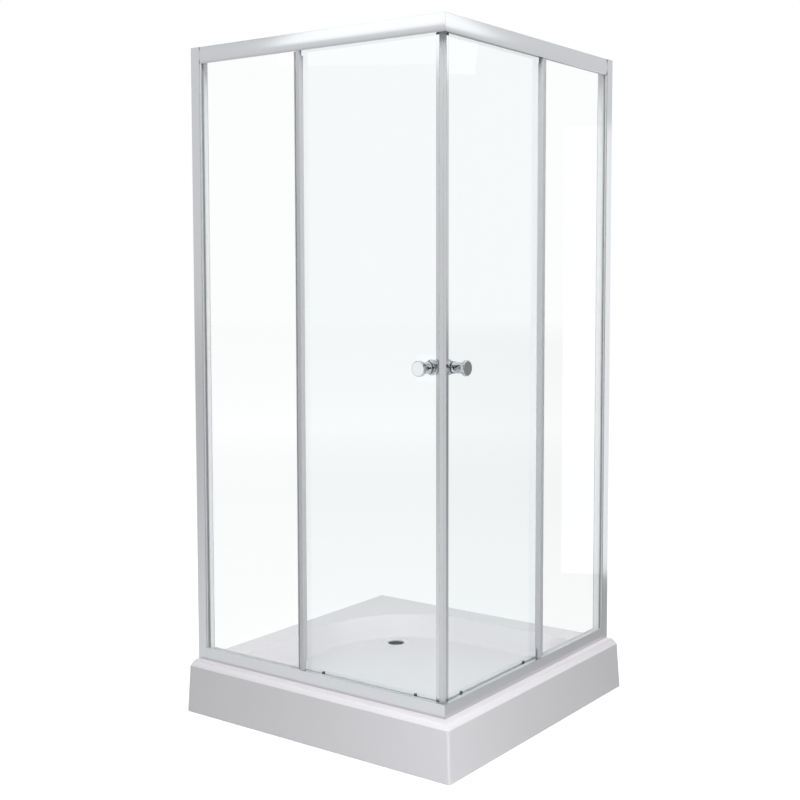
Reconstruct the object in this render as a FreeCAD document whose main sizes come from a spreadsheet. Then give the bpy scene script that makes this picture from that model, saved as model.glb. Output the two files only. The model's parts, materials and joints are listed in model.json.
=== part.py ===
import FreeCAD, Part
import os
import re

import Sketcher

V = FreeCAD.Vector

# Driving dimensions in millimetres and degrees. "Line" means the line of the apron's top edge:
# distances into the enclosure are measured from it, and distances along a side from the entry
# corner, where the two lines meet.
DIMENSIONS = {
    # Footprint and heights.
    "tray_side": 900,
    "apron_flare": 11,
    "deck_height": 144,
    "overall_height": 1880,
    # Tray: rim, basin and waste hole. The basin's back edge and the waste are set out from the walls.
    "tray_reveal": 16,
    "tray_wall": 5,
    "rim_depth": 44,
    "rim_round": 4,
    "rim_corner_round": 5,
    "basin_front": 78,
    "basin_back": 82,
    "basin_depth": 60,
    "basin_slope_run": 50,
    "basin_round": 110,
    "basin_back_round": 318,
    "basin_floor_round": 25,
    "basin_lip_round": 8,
    "drain_setback": 250,
    "drain_radius": 26,
    "drain_recess_radius": 45,
    "drain_recess_depth": 1.5,
    # Apron.
    "apron_drop": 14,
    "apron_wall": 3.5,
    "apron_lip_rise": 11.5,
    "apron_lip_radius": 40,
    "apron_corner_round": 6,
    "joint_gap": 0.3,
    # Board, crossbars, feet and apron brackets under the tray.
    "board_thickness": 12,
    "board_inset": 8,
    "board_round": 60,
    "bar_width": 30,
    "bar_depth": 20,
    "bar_wall": 2,
    "bar_start": 120,
    "bar_end": 800,
    "bar_first": 160,
    "bar_spacing": 315,
    "foot_first": 200,
    "foot_spacing": 530,
    "rod_radius": 6,
    "rod_top_gap": 4,
    "nut_radius": 11,
    "nut_height": 6,
    "pad_radius": 25,
    "pad_height": 7,
    "pad_boss_radius": 11,
    "pad_boss_height": 8,
    "pad_socket_floor": 4,
    "fit_gap": 0.1,
    "bracket_width": 30,
    "bracket_thickness": 3,
    "bracket_height": 40,
    "bracket_first": 350,
    "bracket_spacing": 250,
    # Frame profiles.
    "frame_setback": 34,
    "rail_depth": 37,
    "profile_wall": 1.5,
    "pane_pocket": 10,
    "pane": 5,
    "door_offset": 19,
    "slide_gap": 0.3,
    # Bottom rail.
    "sill_height": 36,
    "sill_base": 2,
    "sill_web_height": 28,
    "sill_fin_height": 30,
    "sill_lip_depth": 4.2,
    "sill_lip_thickness": 1.7,
    "infill_thickness": 8,
    # Top rail.
    "header_height": 46,
    "header_bulge": 2.2,
    "header_wall": 1.6,
    "header_web_gap": 2,
    "header_inner_gap": 7,
    "shelf_width": 10,
    "shelf_thickness": 2,
    "bead_width": 1.5,
    "bead_height": 1.5,
    # Wall profiles and jambs.
    "wall_profile_width": 32,
    "wall_profile_depth": 35,
    "jamb_back_gap": 7,
    "jamb_fin": 4,
    "jamb_gasket_reach": 8,
    "gasket_base": 3,
    "wall_screw_radius": 2.75,
    "wall_screw_low": 250,
    "wall_screw_top_gap": 130,
    "jamb_screw_inset": 15,
    "jamb_screw_low": 400,
    "jamb_screw_top_gap": 280,
    "jamb_screw_radius": 1.9,
    "jamb_screw_head_radius": 4.2,
    "jamb_screw_head_height": 1.8,
    "jamb_screw_length": 6,
    "connector_reach": 80,
    "connector_height": 24,
    # Fixed panes and their edge seals.
    "fixed_pane_edge": 506,
    "fixed_pane_low": 6,
    "fixed_pane_top_gap": 28,
    "seal_wall": 1.6,
    "seal_grip": 8,
    "seal_base": 4,
    "seal_fin": 1.5,
    "seal_fin_low": 25,
    "seal_fin_top": 12,
    "strip_height": 12,
    # Sliding doors.
    "door_front": 67,
    "door_back": 520,
    "door_travel": 325,
    "door_bottom_gap": 8,
    "door_top_gap": 20,
    "lead_profile_face": 4,
    "lead_profile_grip": 6,
    "lead_profile_wall": 2.5,
    "magnet_gap": 0.15,
    "magnet_inset": 0.5,
    # Rollers.
    "roller_front": 144,
    "roller_spacing": 307,
    "wheel_radius": 11,
    "wheel_width": 6,
    "wheel_groove_depth": 2,
    "wheel_groove_width": 2.4,
    "wheel_side_gap": 0.8,
    "axle_radius": 2.5,
    "axle_clearance": 0.05,
    "axle_head": 1.1,
    "axle_head_thickness": 0.8,
    "hanger_width": 26,
    "hanger_thickness": 2.5,
    "hanger_below_bolt": 6,
    "hanger_above_axle": 10,
    "bolt_drop": 34,
    "bolt_cap_radius": 8,
    "bolt_cap_thickness": 2,
    "bolt_sleeve_radius": 5,
    "bolt_radius": 3,
    "guide_radius": 7,
    "guide_width": 6.8,
    "guide_lift": 3.5,
    "guide_axle_radius": 2,
    "plunger_width": 8,
    "plunger_plate": 1.8,
    "plunger_bridge": 1.4,
    "plunger_stand_off": 1,
    "stem_radius": 2.2,
    "stem_offset": 4.5,
    "button_radius": 4.2,
    "button_height": 7,
    "button_rise": 3,
    "housing_front": 13,
    "housing_back": 26,
    "housing_depth": 8.2,
    "housing_height": 5.5,
    "housing_round": 5,
    "housing_leg": 15,
    "housing_leg_drop": 10.5,
    "housing_bolt_back": 18,
    "housing_bolt_drop": 3.5,
    "housing_bolt_radius": 2.5,
    "stop_length": 12,
    "stop_width": 6,
    "stop_height": 28,
    # Knobs.
    "knob_setback": 100,
    "knob_height": 1019,
    "knob_flange": 15.5,
    "knob_neck": 14.4,
    "knob_head": 20,
    "knob_length": 41,
    "knob_head_length": 9,
    "knob_flare": 9,
    "knob_flare_radius": 11,
    "knob_flange_length": 3,
    "knob_round": 2.5,
    "inner_knob_length": 17,
    "inner_knob_head_length": 6,
    "inner_knob_flare": 6,
    "inner_knob_flange_length": 2,
    "knob_bore_depth": 10,
    "stud_radius": 4,
    "knob_gasket": 1,
    "knob_gasket_bore": 5.5,
}

doc = FreeCAD.newDocument("ShowerEnclosure")
sheet = doc.addObject("Spreadsheet::Sheet", "Sizes")
for row, (alias, number) in enumerate(DIMENSIONS.items(), start=1):
    sheet.set(f"A{row}", alias)
    sheet.set(f"B{row}", str(number))
    sheet.setAlias(f"B{row}", alias)
doc.recompute()

nodes = []


def cells(text):
    """Name the sheet in front of each alias, as an expression needs it."""
    return re.sub(r"[a-z_]+", lambda word: "Sizes." + word[0] if word[0] in DIMENSIONS else word[0], text)


def value(text):
    """The number that an expression over the aliases comes to."""
    return float(sheet.evalExpression(cells(text)))


def bind(thing, **properties):
    """Tie properties of an object to expressions over the aliases."""
    for name, text in properties.items():
        thing.setExpression(name, cells(text))


# Places. Local coordinates have their origin at the floor, at the wall end of the left side:
# x runs along the side from the wall to the entry corner, y from the line into the enclosure.
WALL_X = "(-(tray_side + apron_flare) / 2)"
LINE_Y = "((apron_flare - tray_side) / 2)"


def place(thing, x, y, z, turn=None):
    """Put an object at a local place, after an optional turn about its own origin."""
    if turn:
        thing.Placement = FreeCAD.Placement(V(), turn)
    for axis, text in zip("xyz", (f"{WALL_X} + {x}", f"{LINE_Y} + {y}", z)):
        thing.setExpression(f"Placement.Base.{axis}", cells(text))
    return thing


def along(distance):
    """Local x of a distance from the entry corner."""
    return f"(tray_side - ({distance}))"


ALONG_Y = FreeCAD.Rotation(V(1, 0, 0), -90)
ALONG_X = FreeCAD.Rotation(V(0, 1, 0), 90)
HALF_TURN = FreeCAD.Rotation(V(0, 0, 1), 180)


def box(x, y, z, length, width, height):
    """A rectangular block."""
    block = doc.addObject("Part::Box", "Block")
    bind(block, Length=length, Width=width, Height=height)
    return place(block, x, y, z)


def cylinder(x, y, z, radius, length, turn=None):
    """A round bar along z, or along another axis after a turn."""
    bar = doc.addObject("Part::Cylinder", "Bar")
    bind(bar, Radius=radius, Height=length)
    return place(bar, x, y, z, turn)


def fuse(*pieces):
    """One solid from pieces that touch."""
    union = doc.addObject("Part::MultiFuse", "Union")
    union.Shapes = list(pieces)
    union.Refine = True
    return union


def cut(base, *tools):
    """A solid less the tools."""
    tool = tools[0]
    if len(tools) > 1:
        tool = doc.addObject("Part::Compound", "Tools")
        tool.Links = list(tools)
    rest = doc.addObject("Part::Cut", "Rest")
    rest.Base = base
    rest.Tool = tool
    return rest


def group(*pieces):
    """Separate solids kept together as one sub-part."""
    together = doc.addObject("Part::Compound", "Group")
    together.Links = list(pieces)
    return together


def mirrored(thing):
    """The same piece on the right side, across the diagonal through the entry corner."""
    twin = doc.addObject("Part::Mirroring", "Mirror")
    twin.Source = thing
    twin.Base = V(0, 0, 0)
    twin.Normal = V(1, 1, 0)
    return twin


def add_node(name, thing):
    """Name a finished sub-part and keep it for writing."""
    thing.Label = name
    nodes.append(thing)
    return thing


def add_pair(name, thing):
    """A sub-part of the left side and its mirror image on the right."""
    add_node(name + "_left", thing)
    add_node(name + "_right", mirrored(thing))


def new_body(x="0", y="0", z="0", turn=None):
    """An empty body at a local place."""
    return place(doc.addObject("PartDesign::Body", "Body"), x, y, z, turn)


def arc_geometry(start, end, radius):
    """An arc between two points, shorter than a half circle. A positive radius turns left."""
    chord = end - start
    side = V(-chord.y, chord.x, 0).normalize() * (1 if radius > 0 else -1)
    centre = (start + end) / 2 + side * (radius**2 - chord.Length**2 / 4) ** 0.5
    circle = Part.Circle(centre, V(0, 0, 1), abs(radius))
    first, last = (start, end) if radius > 0 else (end, start)
    return Part.ArcOfCircle(circle, circle.parameter(first), circle.parameter(last))


def outline(body, plane, points, lift="0", closed=True):
    """A sketch of lines and arcs on an origin plane of the body, lifted along its normal.

    A point is (x, y), or (x, y, radius) where the edge to the next point is an arc.
    """
    sketch = body.newObject("Sketcher::SketchObject", "Outline")
    support = next(f for f in body.Origin.OriginFeatures if f.Role == plane)
    sketch.AttachmentSupport = (support, [""])
    sketch.MapMode = "FlatFace"
    sketch.setExpression("AttachmentOffset.Base.z", cells(lift))
    places = [V(value(p[0]), value(p[1]), 0) for p in points]
    count = len(points) if closed else len(points) - 1
    ends = []
    for i in range(count):
        start, end = places[i], places[(i + 1) % len(places)]
        radius = value(points[i][2]) if len(points[i]) > 2 else 0
        if radius:
            sketch.addGeometry(arc_geometry(start, end, radius), False)
            limit = sketch.addConstraint(Sketcher.Constraint("Radius", i, abs(radius)))
            sketch.setExpression(f"Constraints[{limit}]", cells(f"abs({points[i][2]})"))
        else:
            sketch.addGeometry(Part.LineSegment(start, end), False)
        ends.append((1, 2) if radius >= 0 else (2, 1))
    for i in range(count if closed else count - 1):
        after = (i + 1) % count
        sketch.addConstraint(Sketcher.Constraint("Coincident", i, ends[i][1], after, ends[after][0]))
    for i, point in enumerate(points):
        edge, end = (i, ends[i][0]) if i < count else (count - 1, ends[count - 1][1])
        spans = (("DistanceX", point[0], places[i].x), ("DistanceY", point[1], places[i].y))
        for kind, text, number in spans:
            size = sketch.addConstraint(Sketcher.Constraint(kind, -1, 1, edge, end, number))
            sketch.setExpression(f"Constraints[{size}]", cells(text))
    return sketch


def pad(body, sketch, length, reverse=False):
    """Extrude a sketch along its plane's normal, or against it."""
    feature = body.newObject("PartDesign::Pad", "Pad")
    feature.Profile = sketch
    feature.Reversed = reverse
    bind(feature, Length=length)
    return feature


def pocket_up(body, sketch, depth):
    """Cut a sketch's shape out of the body, along its plane's normal."""
    feature = body.newObject("PartDesign::Pocket", "Pocket")
    feature.Profile = sketch
    feature.Reversed = True
    bind(feature, Length=depth)
    return feature


def turned(points, x, y, z, turn=None):
    """A round piece: points are (radius, distance along the y axis)."""
    body = new_body(x, y, z, turn)
    feature = body.newObject("PartDesign::Revolution", "Turned")
    sketch = outline(body, "XY_Plane", points)
    feature.Profile = sketch
    feature.ReferenceAxis = (sketch, ["V_Axis"])
    feature.Angle = 360
    body.Tip = feature
    return body


def rounded(x_low, y_low, x_high, y_high, radii):
    """Points of a rectangle with the corners rounded, counter-clockwise from the low corner.

    radii holds one expression per corner, or None for a sharp corner.
    """
    corners = [
        (x_low, y_low, (0, 1), (1, 0)),
        (x_high, y_low, (-1, 0), (0, 1)),
        (x_high, y_high, (0, -1), (-1, 0)),
        (x_low, y_high, (1, 0), (0, -1)),
    ]
    points = []
    for (x, y, back, ahead), radius in zip(corners, radii):
        if radius is None:
            points.append((x, y))
            continue
        first = (f"{x} + ({back[0]}) * ({radius})", f"{y} + ({back[1]}) * ({radius})")
        second = (f"{x} + ({ahead[0]}) * ({radius})", f"{y} + ({ahead[1]}) * ({radius})")
        points += [(*first, radius), second]
    return points


# Heights and depths that several pieces share.
DECK = "deck_height"
HEADER_LOW = "(overall_height - header_height)"
FIXED_FACE = "(frame_setback + profile_wall + (pane_pocket - pane) / 2)"
WEB_FACE = "(frame_setback + profile_wall + pane_pocket)"
DOOR_FACE = "(frame_setback + door_offset)"
DOOR_INNER = "(frame_setback + door_offset + pane)"
RAIL_INNER = "(frame_setback + rail_depth)"
DOOR_LOW = "(deck_height + door_bottom_gap)"
DOOR_TOP = "(overall_height - door_top_gap)"
FRAME_RISE = "(overall_height - deck_height)"
SILL_TOP = "(deck_height + sill_height)"
SHELF_TOP = f"({HEADER_LOW} + header_inner_gap + shelf_thickness)"
WHEEL_Z = f"({SHELF_TOP} + slide_gap + wheel_radius)"
BOLT_Z = "(overall_height - bolt_drop)"
GUIDE_Z = "(deck_height + sill_base + guide_lift + guide_radius)"
LIP_LOW = f"({GUIDE_Z} + guide_radius + slide_gap)"
HOUSING_LOW = f"({LIP_LOW} + plunger_bridge + slide_gap)"
HOUSING_BOLT_Z = f"({HOUSING_LOW} - housing_bolt_drop)"
BUTTON_LOW = f"({HOUSING_LOW} + housing_height + button_rise)"


# ---- Tray, apron and what carries them ----

BASIN_FLOOR = "(deck_height - basin_depth)"
BASIN_BACK = "(tray_side - basin_back)"
DRAIN_SETBACK = "(tray_side - drain_setback)"
RIM_BOTTOM = "(deck_height - rim_depth)"
APRON_HEIGHT = "(deck_height - apron_drop)"

def basin_outline(body, lift, inset):
    """The basin's outline at a height: one wide corner over the waste, three tighter ones."""
    tight = f"(basin_round - ({inset}))"
    wide = f"(basin_back_round - ({inset}))"
    low, high = f"(basin_front + ({inset}))", f"({BASIN_BACK} - ({inset}))"
    points = rounded(along(high), low, along(low), high, [tight, tight, tight, wide])
    return outline(body, "XY_Plane", points, lift)


def loft(body, kind, lower, upper):
    """Add or take away the space between two sketches."""
    feature = body.newObject(kind, "Loft")
    feature.Profile = upper
    feature.Sections = [lower]
    feature.Ruled = True
    return feature


def round_edges(body, feature, height, near, far, radius):
    """Round the edges at one height whose middles lie between two distances from the front corner."""
    doc.recompute()
    level, low, high, side = (value(text) for text in (height, near, far, "tray_side"))
    names = []
    for number, edge in enumerate(feature.Shape.Edges, start=1):
        box_of = edge.BoundBox
        middle = box_of.Center
        flat = abs(box_of.ZMin - level) < 0.01 and abs(box_of.ZMax - level) < 0.01
        inside = low < side - middle.x < high and low < middle.y < high
        if flat and inside:
            names.append(f"Edge{number}")
    fillet = body.newObject("PartDesign::Fillet", "Rounding")
    fillet.Base = (feature, names)
    bind(fillet, Radius=radius)
    return fillet


def tray():
    """Acrylic tray: a flat deck with turned-down rims and one sunken basin."""
    body = new_body()
    front = along("tray_reveal")
    plan = rounded("0", "tray_reveal", front, "tray_side", [None, "rim_corner_round", None, None])
    block = pad(body, outline(body, "XY_Plane", plan, RIM_BOTTOM), "rim_depth")
    round_edges(body, block, DECK, "0", "tray_side", "rim_round")
    hollow = rounded(
        "tray_wall", "tray_reveal + tray_wall", f"{front} - tray_wall", "tray_side - tray_wall",
        [None, None, None, None],
    )
    pocket_up(body, outline(body, "XY_Plane", hollow, RIM_BOTTOM), "rim_depth - tray_wall")
    loft(
        body, "PartDesign::AdditiveLoft",
        basin_outline(body, f"{BASIN_FLOOR} - tray_wall", "basin_slope_run - tray_wall"),
        basin_outline(body, "deck_height - tray_wall", "-tray_wall"),
    )
    basin = loft(
        body, "PartDesign::SubtractiveLoft",
        basin_outline(body, BASIN_FLOOR, "basin_slope_run"),
        basin_outline(body, DECK, "0"),
    )
    basin = round_edges(body, basin, BASIN_FLOOR, "tray_reveal", BASIN_BACK, "basin_floor_round")
    round_edges(body, basin, DECK, "basin_front / 2", f"{BASIN_BACK} + tray_wall", "basin_lip_round")
    x, y = along(DRAIN_SETBACK), DRAIN_SETBACK
    hole = cylinder(x, y, f"{BASIN_FLOOR} - 2 * tray_wall", "drain_radius", "3 * tray_wall")
    recess = cylinder(
        x, y, f"{BASIN_FLOOR} - drain_recess_depth", "drain_recess_radius", "drain_recess_depth + tray_wall"
    )
    add_node("tray", cut(body, hole, recess))


def apron():
    """One apron round both front sides: a thin leaning panel with a sloping lip at the top."""
    body = new_body(y="(-apron_flare)")
    reach = "(tray_side + apron_flare)"
    path = outline(body, "XY_Plane", [("0", "0"), (reach, "0"), (reach, reach)], closed=False)
    lip_end = "(apron_flare + tray_reveal - joint_gap)"
    lip_top = f"({APRON_HEIGHT} + apron_lip_rise)"
    section = outline(body, "YZ_Plane", [
        ("0", "0"),
        ("apron_flare", APRON_HEIGHT, "-apron_lip_radius"),
        (lip_end, lip_top),
        (lip_end, f"{lip_top} - apron_wall"),
        (f"{lip_end} - apron_wall", f"{lip_top} - apron_wall"),
        ("apron_flare + apron_wall", f"{APRON_HEIGHT} - apron_wall"),
        ("apron_wall", "0"),
    ])
    pipe = body.newObject("PartDesign::AdditivePipe", "Panel")
    pipe.Profile = section
    pipe.Spine = (path, ["Edge1", "Edge2"])
    pipe.Transition = "Right corner"
    doc.recompute()
    flare, top, side = (value(text) for text in ("apron_flare", APRON_HEIGHT, "tray_side"))
    names = []
    for number, edge in enumerate(pipe.Shape.Edges, start=1):
        box_of = edge.BoundBox
        upright = abs(box_of.ZMin) < 0.01 and abs(box_of.ZMax - top) < 0.01
        if upright and box_of.Center.x > side and box_of.Center.y < flare:
            names.append(f"Edge{number}")
    corner = body.newObject("PartDesign::Fillet", "Corner")
    corner.Base = (pipe, names)
    bind(corner, Radius="apron_corner_round")
    add_node("apron", body)


BOARD_TOP = f"({BASIN_FLOOR} - tray_wall)"
BAR_TOP = f"({BOARD_TOP} - board_thickness)"
BAR_LOW = f"({BAR_TOP} - bar_depth)"


def tray_board():
    """Board that stiffens the basin's floor, open round the waste."""
    inset = "(basin_slope_run + board_inset)"
    low, high = f"(basin_front + {inset})", f"({BASIN_BACK} - {inset})"
    wide = f"(basin_back_round - {inset})"
    body = new_body()
    plan = rounded(along(high), low, along(low), high, ["board_round"] * 3 + [wide])
    pad(body, outline(body, "XY_Plane", plan, BAR_TOP), "board_thickness")
    hole = cylinder(
        along(DRAIN_SETBACK), DRAIN_SETBACK, BAR_LOW,
        "drain_recess_radius", "bar_depth + 2 * board_thickness",
    )
    add_node("tray_board", cut(body, hole))


def foot_places():
    """Local x and y of each foot, two under each crossbar."""
    return [
        (along(f"(foot_first + {i} * foot_spacing)"), f"(bar_first + {j} * bar_spacing)")
        for j in range(3)
        for i in range(2)
    ]


def crossbars():
    """Three square tubes under the board, drilled for the feet."""
    bars = []
    for j in range(3):
        middle = f"(bar_first + {j} * bar_spacing)"
        length = "(bar_end - bar_start)"
        tube = box(along("bar_end"), f"{middle} - bar_width / 2", BAR_LOW, length, "bar_width", "bar_depth")
        space = box(
            along("bar_end"), f"{middle} - bar_width / 2 + bar_wall", f"{BAR_LOW} + bar_wall",
            length, "bar_width - 2 * bar_wall", "bar_depth - 2 * bar_wall",
        )
        holes = [
            cylinder(x, y, f"{BAR_LOW} - bar_wall", "rod_radius + fit_gap", "3 * bar_wall")
            for x, y in foot_places()[2 * j:2 * j + 2]
        ]
        bars.append(cut(tube, space, *holes))
    add_node("crossbars", group(*bars))


def feet():
    """Adjustable feet: threaded rods with a lock nut under the bar, in round pads."""
    rods, nuts, pads = [], [], []
    for x, y in foot_places():
        length = f"{BAR_TOP} - bar_wall - rod_top_gap - pad_socket_floor"
        rods.append(cylinder(x, y, "pad_socket_floor", "rod_radius", length))
        nut = doc.addObject("Part::Prism", "Nut")
        nut.Polygon = 6
        bind(nut, Circumradius="nut_radius", Height="nut_height")
        place(nut, x, y, f"{BAR_LOW} - nut_height")
        bore = cylinder(x, y, f"{BAR_LOW} - 2 * nut_height", "rod_radius + fit_gap", "3 * nut_height")
        nuts.append(cut(nut, bore))
        disc = cylinder(x, y, "0", "pad_radius", "pad_height")
        boss = cylinder(x, y, "pad_height", "pad_boss_radius", "pad_boss_height")
        socket = cylinder(x, y, "pad_socket_floor", "rod_radius + fit_gap", "pad_height + pad_boss_height")
        pads.append(cut(fuse(disc, boss), socket))
    add_node("foot_rods", group(*rods))
    add_node("foot_nuts", group(*nuts))
    add_node("foot_pads", group(*pads))


def apron_brackets():
    """Angle brackets under the crossbars that hold the apron, two to each side."""
    pieces = []
    low = f"({BAR_LOW} - bracket_thickness)"
    # The apron leans outwards below, so an upright comes nearest to it at its top edge.
    lean = f"(apron_flare * (1 - ({low} + bracket_height) / ({APRON_HEIGHT} - apron_wall)))"
    stand_off = f"(apron_wall - {lean} + joint_gap)"
    strap_end = "(bar_first + bar_width / 2)"
    for i in range(2):
        x = f"({along('bracket_first')} - {i} * bracket_spacing - bracket_width / 2)"
        length = f"({strap_end} - {stand_off})"
        strap = box(x, stand_off, low, "bracket_width", length, "bracket_thickness")
        tab = box(x, stand_off, low, "bracket_width", "bracket_thickness", "bracket_height")
        pieces.append(fuse(strap, tab))
    strap_end = "(bar_start + 1.5 * bar_width)"
    for i in range(2):
        y = f"(bar_first + {i + 1} * bar_spacing - bracket_width / 2)"
        length = f"({strap_end} - {stand_off})"
        strap = box(along(strap_end), y, low, length, "bracket_width", "bracket_thickness")
        tab = box(
            along(f"({stand_off} + bracket_thickness)"), y, low,
            "bracket_thickness", "bracket_width", "bracket_height",
        )
        pieces.append(fuse(strap, tab))
    add_node("apron_brackets", group(*pieces))


# ---- Fixed frame, one side, mirrored for the other ----

def mitre_tool():
    """Block that takes away everything past the diagonal through the entry corner."""
    block = doc.addObject("Part::Box", "Mitre")
    reach = f"(2 * {RAIL_INNER})"
    bind(block, Length=reach, Width=reach, Height="overall_height")
    return place(block, "tray_side", "0", "0", FreeCAD.Rotation(V(0, 0, 1), 45))


def long_profile(points, z, start, end, mitred=True):
    """A section extruded along the side between two local x places, mitred at the corner."""
    body = new_body(start, "0", z)
    pad(body, outline(body, "YZ_Plane", points), f"{end} - {start}")
    return cut(body, mitre_tool()) if mitred else body


RAIL_START = "wall_profile_width"
RAIL_END = along("frame_setback")


def bottom_rail():
    """Bottom rail: an outer pocket for the fixed pane and an inner channel with a guide lip."""
    outer, inner = "frame_setback", RAIL_INNER
    lip = f"({LIP_LOW} - deck_height)"
    points = [
        (outer, "0"), (inner, "0"), (inner, "sill_fin_height"),
        (f"{inner} - profile_wall", "sill_fin_height"),
        (f"{inner} - profile_wall", f"{lip} + sill_lip_thickness"),
        (f"{inner} - sill_lip_depth", f"{lip} + sill_lip_thickness"),
        (f"{inner} - sill_lip_depth", lip),
        (f"{inner} - profile_wall", lip),
        (f"{inner} - profile_wall", "sill_base"),
        (f"{WEB_FACE} + profile_wall", "sill_base"),
        (f"{WEB_FACE} + profile_wall", "sill_web_height"), (WEB_FACE, "sill_web_height"),
        (WEB_FACE, "sill_base"), (f"{outer} + profile_wall", "sill_base"),
        (f"{outer} + profile_wall", "sill_height"), (outer, "sill_height"),
    ]
    add_pair("bottom_rail", long_profile(points, DECK, RAIL_START, RAIL_END))


HEADER_RADIUS = "((header_height^2 / 4 + header_bulge^2) / (2 * header_bulge))"


def header_inner_face(height):
    """Depth of the inside of the top rail's curved wall at a height in the section."""
    rise = f"({height} - header_height / 2)"
    return f"(frame_setback + {HEADER_RADIUS} - sqrt(({HEADER_RADIUS} - header_wall)^2 - {rise}^2))"


def top_rail():
    """Top rail: a bowed outer wall, a web, and an inner shelf with a bead for the wheels."""
    inner = RAIL_INNER
    shelf_low, shelf_top = "header_inner_gap", "(header_inner_gap + shelf_thickness)"
    roof = "(header_height - header_wall)"
    edge = f"({inner} - shelf_width)"
    bead = f"({DOOR_INNER} + hanger_thickness + wheel_side_gap + wheel_width / 2 - bead_width / 2)"
    points = [
        ("frame_setback + header_bulge", "header_height", HEADER_RADIUS),
        ("frame_setback + header_bulge", "0"),
        (header_inner_face("0"), "0", f"(header_wall - {HEADER_RADIUS})"),
        (header_inner_face(roof), roof),
        (WEB_FACE, roof), (WEB_FACE, "header_web_gap"),
        (f"{WEB_FACE} + profile_wall", "header_web_gap"), (f"{WEB_FACE} + profile_wall", roof),
        (f"{inner} - header_wall", roof), (f"{inner} - header_wall", shelf_top),
        (f"{bead} + bead_width", shelf_top), (f"{bead} + bead_width", f"{shelf_top} + bead_height"),
        (bead, f"{shelf_top} + bead_height"), (bead, shelf_top),
        (edge, shelf_top), (edge, shelf_low), (inner, shelf_low), (inner, "header_height"),
    ]
    add_pair("top_rail", long_profile(points, HEADER_LOW, RAIL_START, RAIL_END))


def wall_profile():
    """Upright channel screwed to the wall, with four holes left free for its screws."""
    low, high = "frame_setback", "(frame_setback + wall_profile_depth)"
    body = new_body(z=DECK)
    pad(body, outline(body, "XY_Plane", [
        ("0", low), ("wall_profile_width", low), ("wall_profile_width", f"{low} + profile_wall"),
        ("profile_wall", f"{low} + profile_wall"), ("profile_wall", f"{high} - profile_wall"),
        ("wall_profile_width", f"{high} - profile_wall"), ("wall_profile_width", high), ("0", high),
    ]), FRAME_RISE)
    spacing = "(overall_height - wall_screw_low - wall_screw_top_gap) / 3"
    holes = [
        cylinder(
            "(-profile_wall)", f"{low} + wall_profile_depth / 2",
            f"wall_screw_low + {i} * {spacing}",
            "wall_screw_radius", "3 * profile_wall", ALONG_X,
        )
        for i in range(4)
    ]
    add_pair("wall_profile", cut(body, *holes, *jamb_screw_holes()))


def jamb_screw_heights():
    """Heights of the three screws in each jamb, evenly spaced."""
    spacing = "(overall_height - jamb_screw_low - jamb_screw_top_gap) / 2"
    return [f"(jamb_screw_low + {i} * {spacing})" for i in range(3)]


def jamb_screw_holes():
    """Clearance holes for the screws that join the wall profile and the jamb."""
    depth = "(profile_wall + slide_gap + jamb_screw_length)"
    face = "(frame_setback + wall_profile_depth)"
    return [
        cylinder(
            "jamb_screw_inset", f"{face} - {depth}", z,
            "jamb_screw_radius + fit_gap", f"{depth} + profile_wall", ALONG_Y,
        )
        for z in jamb_screw_heights()
    ]


JAMB_LOW = "(frame_setback + profile_wall + slide_gap)"
JAMB_HIGH = "(frame_setback + wall_profile_depth - profile_wall - slide_gap)"
POCKET_HIGH = f"({JAMB_LOW} + pane_pocket)"


def jamb():
    """Box-section jamb inside the wall profile, with two fins that hold the pane's gasket."""
    body = new_body(z=DECK)
    front, back = "wall_profile_width", "jamb_back_gap"
    outer = rounded(back, JAMB_LOW, front, JAMB_HIGH, [None] * 4)
    inner = rounded(
        f"{back} + profile_wall", f"{JAMB_LOW} + profile_wall", f"{front} - profile_wall",
        f"{JAMB_HIGH} - profile_wall", [None] * 4,
    )
    pad(body, outline(body, "XY_Plane", outer), FRAME_RISE)
    pocket_up(body, outline(body, "XY_Plane", inner), FRAME_RISE)
    fin_low = "sill_height"
    fin_rise = f"{FRAME_RISE} - sill_height - header_height"
    for side in (JAMB_LOW, POCKET_HIGH):
        fin = rounded(front, side, f"{front} + jamb_fin", f"{side} + profile_wall", [None] * 4)
        pad(body, outline(body, "XY_Plane", fin, fin_low), fin_rise)
    add_pair("jamb", cut(body, *jamb_screw_holes()))


def jamb_gaskets():
    """Dark gaskets round the fixed panes' wall edges, standing a little proud of the jambs."""
    body = new_body(z=SILL_TOP)
    low, high = f"({JAMB_LOW} + profile_wall)", POCKET_HIGH
    front = "wall_profile_width"
    tip = f"({front} + jamb_gasket_reach)"
    slot = f"({front} + gasket_base)"
    pane_low, pane_high = FIXED_FACE, f"({FIXED_FACE} + pane)"
    pad(body, outline(body, "XY_Plane", [
        (front, low), (tip, low), (tip, pane_low), (slot, pane_low),
        (slot, pane_high), (tip, pane_high), (tip, high), (front, high),
    ]), f"{HEADER_LOW} - {SILL_TOP}")
    add_node("jamb_gaskets", group(body, mirrored(body)))


FIXED_START = "(wall_profile_width + gasket_base)"
FIXED_END = along("fixed_pane_edge")
FIXED_LOW = "(deck_height + fixed_pane_low)"
FIXED_TOP = "(overall_height - fixed_pane_top_gap)"


def fixed_glass():
    """Fixed pane, from the jamb to just past the closed door's back edge."""
    pane = box(
        FIXED_START, FIXED_FACE, FIXED_LOW,
        f"{FIXED_END} - {FIXED_START}", "pane", f"{FIXED_TOP} - {FIXED_LOW}",
    )
    add_pair("fixed_glass", pane)


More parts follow.
